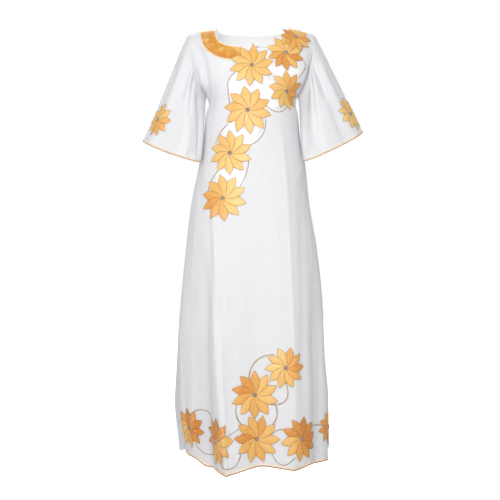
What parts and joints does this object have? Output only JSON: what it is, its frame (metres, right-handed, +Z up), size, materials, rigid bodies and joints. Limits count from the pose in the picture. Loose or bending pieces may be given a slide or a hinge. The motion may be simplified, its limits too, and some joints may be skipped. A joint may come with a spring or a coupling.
{
  "type": "maxi dress",
  "caption": "White A-line maxi dress in its worn shape, with a rounded square neck, flared elbow sleeves, an orange neck band, satin flowers and a piped hem.",
  "frame": {"origin": "midway between the two neck ends of the shoulder seams, where the wearer's shoulders hold the dress", "axes": "+Z up along the dress, -Y towards the front of the dress, +X towards a viewer's right who faces the front"},
  "size_m": [0.6986, 0.4356, 1.3626],
  "materials": {
    "white_cloth": "woven, matt with a soft sheen",
    "band_satin": "satin",
    "petal_satin": "satin",
    "hem_petal_satin": "satin",
    "piping": "woven tape",
    "beads": "glossy beads",
    "cream_tape": "woven tape",
    "thread": "embroidery thread"
  },
  "bodies": {
    "root": {"front_panel": "white_cloth", "back_panel": "white_cloth", "sleeve_left": "white_cloth", "sleeve_right": "white_cloth", "neck_band": "band_satin", "hem_piping": "piping", "cuff_piping_left": "piping", "cuff_piping_right": "piping", "flower_neck_middle": "petal_satin", "flower_neck_right": "petal_satin", "flower_shoulder": "petal_satin", "flower_armhole": "petal_satin", "flower_bust": "petal_satin", "flower_waist_upper": "petal_satin", "flower_waist_lower": "petal_satin", "flower_skirt_upper": "hem_petal_satin", "flower_skirt_middle": "hem_petal_satin", "flower_hem_middle": "hem_petal_satin", "flower_hem_right": "hem_petal_satin", "flower_hem_corner": "hem_petal_satin", "flower_hem_left": "hem_petal_satin", "flower_hem_side": "hem_petal_satin", "flower_sleeve_left": "petal_satin", "flower_sleeve_right": "petal_satin", "bead_neck_middle": "beads", "bead_neck_right": "beads", "bead_shoulder": "beads", "bead_armhole": "beads", "bead_bust": "beads", "bead_waist_upper": "beads", "bead_waist_lower": "beads", "bead_skirt_upper": "beads", "bead_skirt_middle": "beads", "bead_hem_middle": "beads", "bead_hem_right": "beads", "bead_hem_corner": "beads", "bead_hem_left": "beads", "bead_hem_side": "beads", "bead_sleeve_left": "beads", "bead_sleeve_right": "beads"}
  },
  "joints": []
}
